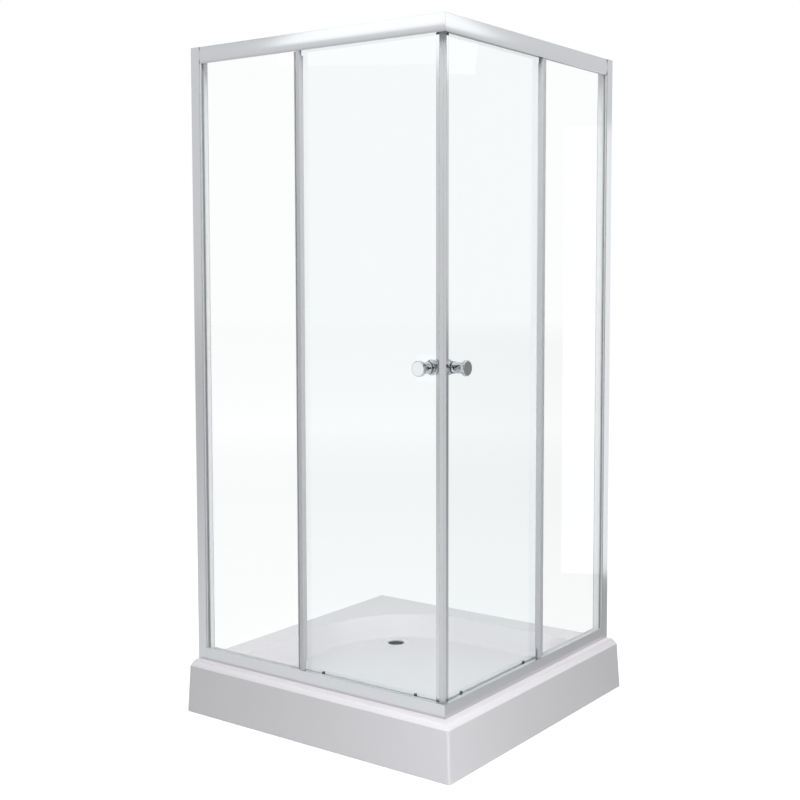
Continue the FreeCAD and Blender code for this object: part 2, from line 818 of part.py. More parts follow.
def glazing_strips():
    """Strips that bed the fixed panes in the bottom rails and wedge them in the top rails."""
    base = "sill_base"
    low, high = "(frame_setback + profile_wall)", WEB_FACE
    bed = long_profile([
        (low, base), (high, base), (high, "sill_web_height"),
        (f"{FIXED_FACE} + pane", "sill_web_height"), (f"{FIXED_FACE} + pane", "fixed_pane_low"),
        (FIXED_FACE, "fixed_pane_low"), (FIXED_FACE, "sill_height"), (low, "sill_height"),
    ], DECK, FIXED_START, FIXED_END, mitred=False)
    wedge = box(
        FIXED_START, f"{FIXED_FACE} + pane", f"{HEADER_LOW} + header_web_gap",
        f"{FIXED_END} - {FIXED_START}", f"{WEB_FACE} - {FIXED_FACE} - pane", "strip_height",
    )
    add_node("glazing_strips", group(bed, wedge, mirrored(bed), mirrored(wedge)))


def sill_infills():
    """Snap-in strips that close the empty pocket of the bottom rails in front of the doors."""
    low, high = "(frame_setback + profile_wall)", WEB_FACE
    base = "(sill_height - infill_thickness)"
    strip = long_profile(
        [(low, base), (high, base), (high, "sill_height"), (low, "sill_height")],
        DECK, f"({FIXED_END} + slide_gap)", RAIL_END,
    )
    add_node("sill_infills", group(strip, mirrored(strip)))


def corner_connectors():
    """L-shaped blocks inside the rails that join the two sides at the corner."""
    low, high = "(frame_setback + profile_wall + slide_gap)", f"({WEB_FACE} - slide_gap)"
    top_low = "(frame_setback + header_bulge + header_wall + slide_gap)"
    for name, near, z in (
        ("bottom_corner_connector", low, "(deck_height + sill_base)"),
        ("top_corner_connector", top_low, "(overall_height - header_wall - connector_height)"),
    ):
        body = new_body(z=z)
        pad(body, outline(body, "XY_Plane", [
            (along("connector_reach"), near), (along(near), near), (along(near), "connector_reach"),
            (along(high), "connector_reach"), (along(high), high), (along("connector_reach"), high),
        ]), "connector_height")
        add_node(name, body)


def jamb_screws():
    """Pan-head screws through the wall profiles into the jambs, three to each side."""
    face = "(frame_setback + wall_profile_depth)"
    screws = [
        turned([
            ("0", "0"), ("jamb_screw_radius", "0"), ("jamb_screw_radius", "jamb_screw_length"),
            ("jamb_screw_head_radius", "jamb_screw_length"),
            ("jamb_screw_head_radius", "jamb_screw_length + jamb_screw_head_height"),
            ("0", "jamb_screw_length + jamb_screw_head_height"),
        ], "jamb_screw_inset", f"{face} - jamb_screw_length", z)
        for z in jamb_screw_heights()
    ]
    add_node("jamb_screws", group(*screws, *[mirrored(screw) for screw in screws]))


def edge_seal(edge, direction, face, fin_face, low, high, fin_low, fin_high):
    """A clip round a pane's upright edge with a fin across the gap to the other pane.

    direction is 1 where the clip's base lies on the corner side of the edge, else -1.
    """
    def x(distance):
        return f"({edge} + ({direction}) * ({distance}))"

    near, far = f"({face} - seal_wall)", f"({face} + pane + seal_wall)"
    body = new_body(z=low)
    clip = [
        (x("seal_base"), near), (x("seal_base"), far), (x("-seal_grip"), far),
        (x("-seal_grip"), f"{face} + pane"), (x("0"), f"{face} + pane"), (x("0"), face),
        (x("-seal_grip"), face), (x("-seal_grip"), near),
    ]
    fin_root = near if value(fin_face) < value(near) else far
    fin = [
        (x("seal_base"), fin_root), (x("seal_base"), fin_face),
        (x("seal_base - seal_fin"), fin_face), (x("seal_base - seal_fin"), fin_root),
    ]
    pad(body, outline(body, "XY_Plane", clip), f"{high} - {low}")
    pad(body, outline(body, "XY_Plane", fin, f"{fin_low} - {low}"), f"{fin_high} - {fin_low}")
    return body


def fixed_edge_seals():
    """Seals on the free edges of the fixed panes, with a fin that almost meets the door."""
    seal = edge_seal(
        FIXED_END, 1, FIXED_FACE, f"({DOOR_FACE} - slide_gap)",
        f"({SILL_TOP} + slide_gap)", f"({HEADER_LOW} - slide_gap)",
        f"({SILL_TOP} + seal_fin_low)", f"({HEADER_LOW} - seal_fin_top)",
    )
    add_node("fixed_edge_seals", group(seal, mirrored(seal)))


def door_stops():
    """Rubber stops inside the top rails that end the doors' travel."""
    edge = along("(roller_front + roller_spacing + door_travel + wheel_radius + joint_gap)")
    middle = f"({DOOR_INNER} + hanger_thickness + wheel_side_gap + wheel_width / 2)"
    stop = box(
        f"({edge} - stop_length)", f"({middle} - stop_width / 2)",
        "(overall_height - header_wall - stop_height)", "stop_length", "stop_width", "stop_height",
    )
    add_node("door_stops", group(stop, mirrored(stop)))


# ---- Sliding doors, one side, mirrored for the other ----

ROLLERS = {"front": "roller_front", "back": "(roller_front + roller_spacing)"}


def door_glass():
    """Door pane, drilled for the knob and for the bolts of its rollers."""
    pane = box(
        along("door_back"), DOOR_FACE, DOOR_LOW,
        "door_back - door_front", "pane", f"{DOOR_TOP} - {DOOR_LOW}",
    )
    before = f"({DOOR_FACE} - pane)"
    holes = [cylinder(along("knob_setback"), before, "knob_height", "knob_gasket_bore", "3 * pane", ALONG_Y)]
    for setback in ROLLERS.values():
        holes.append(
            cylinder(along(setback), before, BOLT_Z, "bolt_sleeve_radius + fit_gap", "3 * pane", ALONG_Y)
        )
        holes.append(cylinder(
            along(f"({setback} + housing_bolt_back)"), before, HOUSING_BOLT_Z,
            "bolt_sleeve_radius + fit_gap", "3 * pane", ALONG_Y,
        ))
    add_pair("door_glass", cut(pane, *holes))


def door_edge_profile():
    """Aluminium channel on the door's leading edge."""
    front = along("door_front")
    face, back = f"({front} + lead_profile_face)", f"({front} - lead_profile_grip)"
    near, far = f"({DOOR_FACE} - lead_profile_wall)", f"({DOOR_INNER} + lead_profile_wall)"
    body = new_body(z=DOOR_LOW)
    pad(body, outline(body, "XY_Plane", [
        (back, near), (face, near), (face, far), (back, far),
        (back, DOOR_INNER), (front, DOOR_INNER), (front, DOOR_FACE), (back, DOOR_FACE),
    ]), f"{DOOR_TOP} - {DOOR_LOW}")
    add_pair("door_edge_profile", body)


def magnetic_seal():
    """Magnetic strip with a face at 45 degrees that meets the other door's strip."""
    face = f"({along('door_front')} + lead_profile_face)"
    near = f"({DOOR_FACE} - lead_profile_wall + magnet_inset)"
    far = f"({DOOR_INNER} + lead_profile_wall - magnet_inset)"
    body = new_body(z=DOOR_LOW)
    pad(body, outline(body, "XY_Plane", [
        (face, near), (along(f"{near} + magnet_gap"), near), (along(f"{far} + magnet_gap"), far), (face, far),
    ]), f"{DOOR_TOP} - {DOOR_LOW}")
    add_pair("magnetic_seal", body)


def door_back_seal():
    """Seal on the door's back edge, with a fin that almost meets the fixed pane."""
    add_pair("door_back_seal", edge_seal(
        along("door_back"), -1, DOOR_FACE, f"({FIXED_FACE} + pane + slide_gap)",
        f"({DOOR_LOW} + pane)", f"({DOOR_TOP} - pane)",
        f"({SILL_TOP} + slide_gap)", f"({HEADER_LOW} - slide_gap)",
    ))


def knob_points(length, head, flare, flange):
    """Section of a waisted knob with a blind bore for its stud."""
    neck_end = f"({length} - {head} - {flare})"
    return [
        ("stud_radius + fit_gap", "0"), ("knob_flange", "0"), ("knob_flange", flange),
        ("knob_neck", f"{flange} + knob_flange - knob_neck"),
        ("knob_neck", neck_end, "-knob_flare_radius"),
        ("knob_head", f"{length} - {head}"), ("knob_head", f"{length} - knob_round", "knob_round"),
        ("knob_head - knob_round", length), ("0", length), ("0", "knob_bore_depth"),
        ("stud_radius + fit_gap", "knob_bore_depth"),
    ]


def knobs():
    """A long knob outside and a short one inside, with gaskets, on one stud through the glass."""
    x, z = along("knob_setback"), "knob_height"
    outer = knob_points("knob_length", "knob_head_length", "knob_flare", "knob_flange_length")
    add_pair("knob_outer", turned(outer, x, f"({DOOR_FACE} - knob_gasket)", z, HALF_TURN))
    inner = knob_points(
        "inner_knob_length", "inner_knob_head_length", "inner_knob_flare", "inner_knob_flange_length"
    )
    add_pair("knob_inner", turned(inner, x, f"({DOOR_INNER} + knob_gasket)", z))
    reach = "(knob_gasket + knob_bore_depth - fit_gap)"
    add_pair("knob_stud", cylinder(
        x, f"({DOOR_FACE} - {reach})", z, "stud_radius", f"pane + 2 * {reach}", ALONG_Y
    ))
    rings = [
        cut(
            cylinder(x, y, z, "knob_flange", "knob_gasket", ALONG_Y),
            cylinder(x, f"({y} - knob_gasket)", z, "knob_gasket_bore", "3 * knob_gasket", ALONG_Y),
        )
        for y in (f"({DOOR_FACE} - knob_gasket)", DOOR_INNER)
    ]
    add_pair("knob_gaskets", group(*rings))


HANGER_FACE = f"({DOOR_INNER} + hanger_thickness)"
WHEEL_FACE = f"({HANGER_FACE} + wheel_side_gap)"


def top_roller_brackets():
    """Plates on the inside of the door glass, each with the axle of one top wheel."""
    plates = []
    for setback in ROLLERS.values():
        x = along(setback)
        low = f"({BOLT_Z} - hanger_below_bolt)"
        plate = box(
            f"({x} - hanger_width / 2)", DOOR_INNER, low,
            "hanger_width", "hanger_thickness", f"{WHEEL_Z} + hanger_above_axle - {low}",
        )
        length = "(wheel_width + 1.5 * wheel_side_gap)"
        axle = cylinder(x, HANGER_FACE, WHEEL_Z, "axle_radius", length, ALONG_Y)
        head = cylinder(
            x, f"({HANGER_FACE} + {length})", WHEEL_Z,
            "axle_radius + axle_head", "axle_head_thickness", ALONG_Y,
        )
        hole = cylinder(
            x, f"({DOOR_INNER} - hanger_thickness)", BOLT_Z,
            "bolt_radius + fit_gap", "3 * hanger_thickness", ALONG_Y,
        )
        plates.append(cut(fuse(plate, axle, head), hole))
    add_pair("top_roller_brackets", group(*plates))


def roller_bolts():
    """Capped bolts that hold the roller brackets and housings to the door glass."""
    bolts = []
    sleeve = "(bolt_cap_thickness + pane)"
    for setback in ROLLERS.values():
        housing_x = along(f"({setback} + housing_bolt_back)")
        for x, z, radius, reach in (
            (along(setback), BOLT_Z, "bolt_radius", "hanger_thickness"),
            (housing_x, HOUSING_BOLT_Z, "housing_bolt_radius", "housing_leg_drop / 2"),
        ):
            bolts.append(turned([
                ("0", "0"), ("bolt_cap_radius", "0"), ("bolt_cap_radius", "bolt_cap_thickness"),
                ("bolt_sleeve_radius", "bolt_cap_thickness"), ("bolt_sleeve_radius", sleeve),
                (radius, sleeve), (radius, f"{sleeve} + {reach}"), ("0", f"{sleeve} + {reach}"),
            ], x, f"({DOOR_FACE} - bolt_cap_thickness)", z))
    add_pair("roller_bolts", group(*bolts))


def top_wheels():
    """Grooved wheels that carry the doors on the top rails' beads."""
    bore = "(axle_radius + axle_clearance)"
    groove_low = "((wheel_width - wheel_groove_width) / 2)"
    groove_high = "((wheel_width + wheel_groove_width) / 2)"
    groove = "(wheel_radius - wheel_groove_depth)"
    for place_name, setback in ROLLERS.items():
        wheel = turned([
            (bore, "0"), ("wheel_radius", "0"), ("wheel_radius", groove_low), (groove, groove_low),
            (groove, groove_high), ("wheel_radius", groove_high), ("wheel_radius", "wheel_width"),
            (bore, "wheel_width"),
        ], along(setback), WHEEL_FACE, WHEEL_Z)
        add_pair(f"top_wheel_{place_name}", wheel)


def bottom_roller_housings():
    """Housings on the inside of the door glass that guide the release buttons."""
    housings = []
    for setback in ROLLERS.values():
        body = new_body(along(setback), DOOR_INNER, HOUSING_LOW)
        shoulder = "(housing_height - housing_round)"
        pad(body, outline(body, "XZ_Plane", [
            ("housing_front", "0"), ("housing_front", shoulder, "housing_round"),
            ("housing_front - housing_round", "housing_height"),
            ("-housing_back", "housing_height"), ("-housing_back", "-housing_leg_drop"),
            ("housing_leg - housing_back", "-housing_leg_drop"), ("housing_leg - housing_back", "0"),
        ]), "housing_depth", reverse=True)
        bore = cylinder(
            along(setback), f"({DOOR_INNER} + stem_offset)", f"({HOUSING_LOW} - housing_height)",
            "stem_radius + axle_clearance", "3 * housing_height",
        )
        hole = cylinder(
            along(f"({setback} + housing_bolt_back)"), f"({DOOR_INNER} - pane)", HOUSING_BOLT_Z,
            "housing_bolt_radius + fit_gap", "pane + housing_leg_drop / 2 + fit_gap", ALONG_Y,
        )
        housings.append(cut(body, bore, hole))
    add_pair("bottom_roller_housings", group(*housings))


PLUNGER_FACE = f"({DOOR_INNER} + plunger_stand_off)"
GUIDE_FACE = f"({PLUNGER_FACE} + plunger_plate + wheel_side_gap)"


def release_buttons():
    """Sprung buttons whose stems carry the guide wheels below the bottom rails' lips."""
    for place_name, setback in ROLLERS.items():
        x = along(setback)
        stem_y = f"({DOOR_INNER} + stem_offset)"
        bridge_low = LIP_LOW
        plate_low = f"({GUIDE_Z} - guide_radius)"
        side = f"({x} - plunger_width / 2)"
        rise = f"{bridge_low} - {plate_low}"
        plate = box(side, PLUNGER_FACE, plate_low, "plunger_width", "plunger_plate", rise)
        bridge = box(
            side, PLUNGER_FACE, bridge_low,
            "plunger_width", "stem_offset + stem_radius - plunger_stand_off", "plunger_bridge",
        )
        stem = cylinder(x, stem_y, bridge_low, "stem_radius", f"{BUTTON_LOW} - {bridge_low}")
        button = cylinder(x, stem_y, BUTTON_LOW, "button_radius", "button_height")
        start = f"({PLUNGER_FACE} + plunger_plate)"
        length = "(guide_width + 1.25 * wheel_side_gap)"
        axle = cylinder(x, start, GUIDE_Z, "guide_axle_radius", length, ALONG_Y)
        head = cylinder(
            x, f"({start} + {length})", GUIDE_Z,
            "guide_axle_radius + axle_head", "axle_head_thickness / 2", ALONG_Y,
        )
        add_pair(f"release_button_{place_name}", fuse(plate, bridge, stem, button, axle, head))


def bottom_wheels():
    """Guide wheels that run under the bottom rails' lips."""
    bore = "(guide_axle_radius + axle_clearance)"
    for place_name, setback in ROLLERS.items():
        wheel = turned([
            (bore, "0"), ("guide_radius", "0"), ("guide_radius", "guide_width"), (bore, "guide_width"),
        ], along(setback), GUIDE_FACE, GUIDE_Z)
        add_pair(f"bottom_wheel_{place_name}", wheel)


for build in (
    tray, apron, tray_board, crossbars, feet, apron_brackets,
    bottom_rail, top_rail, wall_profile, jamb, jamb_gaskets, fixed_glass, glazing_strips,
    sill_infills, corner_connectors, jamb_screws, fixed_edge_seals, door_stops,
    door_glass, door_edge_profile, magnetic_seal, door_back_seal, knobs,
    top_roller_brackets, roller_bolts, top_wheels,
    bottom_roller_housings, release_buttons, bottom_wheels,
):
    build()
doc.recompute()

for thing in doc.Objects:
    if "Invalid" in thing.State or "Error" in thing.State:
        raise RuntimeError(f"{thing.Label} ({thing.TypeId}) was not computed: {thing.State}")
for node in nodes:
    if node.Shape.isNull() or not node.Shape.isValid() or not node.Shape.Solids:
        raise RuntimeError(f"{node.Label} has no valid solid")

os.makedirs("parts", exist_ok=True)
for node in nodes:
    node.Shape.exportStep(f"parts/{node.Label}.step")
print(f"{len(nodes)} sub-parts written")
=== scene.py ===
"""Looks of a corner shower enclosure: tray with apron, polished frame, fixed panes and two sliding doors."""
import json
import math

import bpy
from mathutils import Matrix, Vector

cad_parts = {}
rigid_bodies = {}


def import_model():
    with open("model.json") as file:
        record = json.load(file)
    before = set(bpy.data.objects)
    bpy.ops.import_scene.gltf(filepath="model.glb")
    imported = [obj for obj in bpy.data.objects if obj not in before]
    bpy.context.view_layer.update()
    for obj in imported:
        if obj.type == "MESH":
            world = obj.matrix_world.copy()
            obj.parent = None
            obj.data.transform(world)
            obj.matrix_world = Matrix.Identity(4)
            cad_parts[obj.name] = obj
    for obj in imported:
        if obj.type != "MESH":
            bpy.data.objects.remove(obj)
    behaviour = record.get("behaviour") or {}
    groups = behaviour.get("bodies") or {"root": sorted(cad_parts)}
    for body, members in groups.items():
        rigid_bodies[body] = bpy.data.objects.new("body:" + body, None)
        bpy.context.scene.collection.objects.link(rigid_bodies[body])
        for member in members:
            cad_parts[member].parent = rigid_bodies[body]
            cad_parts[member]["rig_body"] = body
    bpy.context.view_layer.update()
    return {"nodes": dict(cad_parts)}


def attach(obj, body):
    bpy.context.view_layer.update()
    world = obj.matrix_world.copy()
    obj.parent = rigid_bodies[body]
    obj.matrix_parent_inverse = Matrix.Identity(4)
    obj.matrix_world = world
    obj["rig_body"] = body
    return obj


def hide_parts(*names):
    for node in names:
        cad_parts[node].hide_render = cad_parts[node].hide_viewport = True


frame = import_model()
scene = bpy.context.scene

# ---- Camera, floor and light ----
# A long lens stands at head height off the entry corner and tips down a little. The floor is a
# pale sweep that runs out to white, and soft lamps light both glazed sides from the front.
PICTURE = 800
FOCAL_PIXELS = 1254.7
OPTICAL_CENTRE = (434.2, 360.0)
CAMERA_PLACE = (2.1555, -2.9194, 1.2586)
CAMERA_TIP, CAMERA_TURN = 4.0455, 35.3199
camera_data = bpy.data.cameras.new("camera")
camera_data.sensor_width = 36
camera_data.lens = FOCAL_PIXELS * camera_data.sensor_width / PICTURE
camera_data.shift_x = (PICTURE / 2 - OPTICAL_CENTRE[0]) / PICTURE
camera_data.shift_y = (OPTICAL_CENTRE[1] - PICTURE / 2) / PICTURE
camera_data.clip_end = 100
camera = bpy.data.objects.new("camera", camera_data)
camera.location = CAMERA_PLACE
camera.rotation_euler = (math.radians(90 - CAMERA_TIP), 0, math.radians(CAMERA_TURN))
scene.collection.objects.link(camera)
scene.camera = camera
scene.view_settings.view_transform = "Standard"


def colour(code):
    """Turn an sRGB hex code into the linear colour that a shader takes."""
    parts = [int(code[i : i + 2], 16) / 255 for i in (1, 3, 5)]
    return [c / 12.92 if c <= 0.04045 else ((c + 0.055) / 1.055) ** 2.4 for c in parts] + [1.0]


def add_node(tree, kind, settings=(), links=()):
    """Add one node, with its settings and what feeds its inputs."""
    node = tree.nodes.new(kind)
    for name, value in dict(settings).items():
        if isinstance(name, int) or name in node.inputs:
            node.inputs[name].default_value = value
        else:
            setattr(node, name, value)
    for name, source in dict(links).items():
        tree.links.new(source, node.inputs[name])
    return node


def seen_straight(tree):
    """Return a socket that is 1 for what the eye sees straight or through glass."""
    path = add_node(tree, "ShaderNodeLightPath")
    return add_node(
        tree, "ShaderNodeMath", {"operation": "MAXIMUM"},
        {0: path.outputs["Is Camera Ray"], 1: path.outputs["Is Transmission Ray"]},
    ).outputs[0]


def seen_mirrored(tree):
    """Return a socket that is 1 for what a shiny surface mirrors."""
    return add_node(tree, "ShaderNodeLightPath").outputs["Is Glossy Ray"]


def chosen(tree, switch, off, on):
    """Return the shader that shows off where the switch is 0 and on where it is 1."""
    return add_node(tree, "ShaderNodeMixShader", {}, {0: switch, 1: off, 2: on}).outputs[0]


# The studio gives an even light and a white background. Polished pieces mirror a room instead: pale
# walls, a dark band above them, a bright ceiling, and one dark side behind the camera.
SKY_LIGHT = 0.21
MIRRORED_ROOM = 0.98
MIRRORED_CEILING = 1.3
MIRRORED_DARK = 0.12
WALL_TOP, BAND_LOW, BAND_HIGH, COVE_LOW, CEILING_LOW = 0.44, 0.48, 0.66, 0.72, 0.80
DARK_SIDE = (0.55, -0.78, 0.30)
SIDE_EDGE, SIDE_HEART, SIDE_LEVEL = 0.80, 0.93, 0.10
world = bpy.data.worlds.new("studio")
scene.world = world
world.use_nodes = True
world.node_tree.nodes.clear()
tree = world.node_tree
toward = add_node(tree, "ShaderNodeTexCoord").outputs["Generated"]
rise = add_node(tree, "ShaderNodeSeparateXYZ", {}, {0: toward}).outputs["Z"]
ramp = add_node(tree, "ShaderNodeValToRGB", {}, {"Fac": rise})
walls = ramp.color_ramp
for place, level in (
    (WALL_TOP, MIRRORED_ROOM), (BAND_LOW, MIRRORED_DARK), (BAND_HIGH, MIRRORED_DARK),
    (COVE_LOW, MIRRORED_ROOM), (CEILING_LOW, MIRRORED_CEILING),
):
    stop = walls.elements.new(place)
    stop.color = (level, level, level, 1)
walls.elements[0].color = (MIRRORED_ROOM, MIRRORED_ROOM, MIRRORED_ROOM, 1)
walls.elements[-1].color = (MIRRORED_CEILING, MIRRORED_CEILING, MIRRORED_CEILING, 1)
facing = add_node(
    tree, "ShaderNodeVectorMath", {"operation": "DOT_PRODUCT", 1: Vector(DARK_SIDE).normalized()},
    {0: toward},
)
dimmed = add_node(
    tree, "ShaderNodeMapRange",
    {"From Min": SIDE_EDGE, "From Max": SIDE_HEART, "To Min": 1.0, "To Max": SIDE_LEVEL},
    {"Value": facing.outputs["Value"]},
)
lit = add_node(tree, "ShaderNodeBackground", {"Color": colour("#ffffff"), "Strength": SKY_LIGHT})
shown = add_node(tree, "ShaderNodeBackground", {"Color": colour("#ffffff"), "Strength": 1.0})
room = add_node(
    tree, "ShaderNodeBackground", {},
    {"Color": ramp.outputs["Color"], "Strength": dimmed.outputs["Result"]},
)
sky = chosen(tree, seen_mirrored(tree), lit.outputs[0], room.outputs[0])
sky = chosen(tree, seen_straight(tree), sky, shown.outputs[0])
add_node(tree, "ShaderNodeOutputWorld", {}, {"Surface": sky})

# The floor is matt, and glows just enough to read as white where no lamp reaches it. Seen through
# glass it glows less under the lamps, so that the panes keep their tint down to the tray. Polished
# pieces mirror it paler on the left, darker on the right, and level with the walls far away.
FLOOR_SIDE, FLOOR_DROP, FLOOR_PAINT = 60, 0.0005, "#bcbcbc"
FLOOR_GLOW = 1 - colour(FLOOR_PAINT)[0] * SKY_LIGHT
LAMPS_NEAR, LAMPS_FAR, LAMPS_ADD = 1.2, 6.5, 0.205
SHEEN_LEFT, SHEEN_RIGHT, SHEEN_TURN = 0.64, 0.25, 0.4
HORIZON_NEAR, HORIZON_FAR, HORIZON_LEVEL = 13.5, 30.0, 0.87
bpy.ops.object.select_all(action="DESELECT")
bpy.ops.mesh.primitive_plane_add(size=FLOOR_SIDE, location=(0, 0, -FLOOR_DROP))
floor = bpy.context.object
floor.name = "floor"
floor_paint = bpy.data.materials.new("matt white studio floor")
floor_paint.use_nodes = True
floor_paint.node_tree.nodes.clear()
tree = floor_paint.node_tree
matt = add_node(tree, "ShaderNodeBsdfDiffuse", {"Color": colour(FLOOR_PAINT)})
spot = add_node(tree, "ShaderNodeTexCoord").outputs["Object"]
away = add_node(tree, "ShaderNodeVectorMath", {"operation": "LENGTH"}, {0: spot})
glow = add_node(tree, "ShaderNodeEmission", {"Color": colour("#ffffff"), "Strength": FLOOR_GLOW})
under_lamps = add_node(
    tree, "ShaderNodeMapRange",
    {
        "From Min": LAMPS_NEAR, "From Max": LAMPS_FAR,
        "To Min": FLOOR_GLOW - LAMPS_ADD, "To Max": FLOOR_GLOW,
    },
    {"Value": away.outputs["Value"]},
)
glassed = add_node(
    tree, "ShaderNodeEmission", {"Color": colour("#ffffff")},
    {"Strength": under_lamps.outputs["Result"]},
)
through = add_node(tree, "ShaderNodeLightPath").outputs["Is Transmission Ray"]
glow = chosen(tree, through, glow.outputs[0], glassed.outputs[0])
place = add_node(tree, "ShaderNodeSeparateXYZ", {}, {0: spot})
across = add_node(
    tree, "ShaderNodeMath", {"operation": "ADD"}, {0: place.outputs["X"], 1: place.outputs["Y"]}
)
shade = add_node(
    tree, "ShaderNodeMapRange",
    {"From Min": -SHEEN_TURN, "From Max": SHEEN_TURN, "To Min": SHEEN_LEFT, "To Max": SHEEN_RIGHT},
    {"Value": across.outputs[0]},
)
horizon = add_node(
    tree, "ShaderNodeMapRange",
    {"From Min": HORIZON_NEAR, "From Max": HORIZON_FAR, "To Min": 0.0, "To Max": HORIZON_LEVEL},
    {"Value": away.outputs["Value"]},
)
level = add_node(
    tree, "ShaderNodeMath", {"operation": "MAXIMUM"},
    {0: shade.outputs["Result"], 1: horizon.outputs["Result"]},
)
sheen = add_node(
    tree, "ShaderNodeEmission", {"Color": colour("#ffffff")}, {"Strength": level.outputs[0]}
)
none = add_node(tree, "ShaderNodeEmission", {"Color": colour("#000000"), "Strength": 0.0})
extra = chosen(tree, seen_mirrored(tree), none.outputs[0], sheen.outputs[0])
extra = chosen(tree, seen_straight(tree), extra, glow)
whole = add_node(tree, "ShaderNodeAddShader", {}, {0: matt.outputs[0], 1: extra})
add_node(tree, "ShaderNodeOutputMaterial", {}, {"Surface": whole.outputs[0]})
floor.data.materials.append(floor_paint)


def soft_lamp(name, place, aim, side, power):
    """Add a square soft box that faces a point and is not seen itself, straight or mirrored."""
    data = bpy.data.lights.new(name, "AREA")
    data.shape = "SQUARE"
    data.size = side
    data.energy = power
    lamp = bpy.data.objects.new(name, data)
    lamp.location = place
    lamp.rotation_euler = (Vector(aim) - Vector(place)).to_track_quat("-Z", "Y").to_euler()
    scene.collection.objects.link(lamp)
    lamp.visible_glossy = False
    lamp.visible_camera = False
    lamp.visible_transmission = False
    return lamp


soft_lamp("front lamp", place=(1.3, -1.3, 0.4), aim=(0.35, -0.35, 0.2), side=0.5, power=4.8)
soft_lamp("top lamp", place=(1.3, -1.3, 4.3), aim=(0, 0, 0.1), side=2.2, power=150)


def mirrored_card(name, place, aim, width, height, strength):
    """Stand a lit card that only shows in polished metal, as a soft box beside the camera would."""
    bpy.ops.object.select_all(action="DESELECT")
    turn = (Vector(aim) - Vector(place)).to_track_quat("Z", "Y").to_euler()
    bpy.ops.mesh.primitive_plane_add(size=1, location=place, rotation=turn, scale=(width, height, 1))
    card = bpy.context.object
    card.name = name
    card.scale = (width, height, 1)
    lit_paper = bpy.data.materials.new(f"{name} paper")
    lit_paper.use_nodes = True
    lit_paper.node_tree.nodes.clear()
    glow = add_node(
        lit_paper.node_tree, "ShaderNodeEmission", {"Color": colour("#ffffff"), "Strength": strength}
    )
    add_node(lit_paper.node_tree, "ShaderNodeOutputMaterial", {}, {"Surface": glow.outputs[0]})
    card.data.materials.append(lit_paper)
    for ray in ("camera", "diffuse", "transmission", "shadow", "volume_scatter"):
        setattr(card, f"visible_{ray}", False)
    return card


# The first two are mirrored by the corner halves of the top rails, the third by the flat cap of the
# left knob, and the last by the right upright.
mirrored_card("left rail card", (-0.38, -1.35, 2.35), (0.15, -0.41, 1.86), 1.0, 0.8, 1.75)
mirrored_card("right rail card", (1.35, 0.56, 2.35), (0.41, -0.15, 1.86), 0.85, 0.8, 1.75)
mirrored_card("left knob card", (-0.84, -2.06, 0.86), (0.34, -0.46, 1.02), 0.11, 0.11, 1.5)
mirrored_card("right upright card", (0.88, 1.32, 0.95), (0.41, 0.44, 0.95), 0.3, 1.7, 1.35)


# ---- Tray ----
# A one-piece shower tray, vacuum-formed from cast white acrylic over a glass-fibre back. Its rim
# turns down outside, and the basin falls to a 52 mm waste hole in the back corner.
def in_edit_mode(piece):
    """Open a piece in edit mode with nothing else selected."""
    bpy.ops.object.select_all(action="DESELECT")
    bpy.context.view_layer.objects.active = piece
    piece.select_set(True)
    bpy.ops.object.mode_set(mode="EDIT")


def finished_copy(node, rounding, smooth_under=35):
    """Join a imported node's loose triangles in a copy, round its sharp edges and stand it for the node."""
    weld_within, flat_under, sharp_over = 0.000002, 0.2, 40
    source = frame["nodes"][node]
    piece = bpy.data.objects.new(f"{node}_finished", source.data.copy())
    piece.data.materials.clear()
    scene.collection.objects.link(piece)
    in_edit_mode(piece)
    bpy.ops.mesh.select_all(action="SELECT")
    bpy.ops.mesh.remove_doubles(threshold=weld_within)
    bpy.ops.mesh.customdata_custom_splitnormals_clear()
    bpy.ops.mesh.dissolve_limited(angle_limit=math.radians(flat_under))
    bpy.ops.object.mode_set(mode="OBJECT")
    if rounding:
        bevel = piece.modifiers.new("edges", "BEVEL")
        bevel.width = rounding
        bevel.segments = 2
        bevel.limit_method = "ANGLE"
        bevel.angle_limit = math.radians(sharp_over)
        bpy.ops.object.modifier_apply(modifier=bevel.name)
    bpy.ops.object.shade_smooth_by_angle(angle=math.radians(smooth_under))
    flat = piece.modifiers.new("flat faces stay flat", "WEIGHTED_NORMAL")
    flat.keep_sharp = True
    bpy.ops.object.modifier_apply(modifier=flat.name)
    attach(piece, source["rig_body"])
    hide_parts(node)
    return piece


def paint(node_or_piece, material):
    """Give a piece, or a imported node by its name, one material all over."""
    piece = frame["nodes"][node_or_piece] if isinstance(node_or_piece, str) else node_or_piece
    piece.data.materials.clear()
    piece.data.materials.append(material)
    return piece


def new_material(name):
    """Start a node material that holds one Principled shader."""
    material = bpy.data.materials.new(name)
    material.use_nodes = True
    return material, material.node_tree, material.node_tree.nodes["Principled BSDF"]


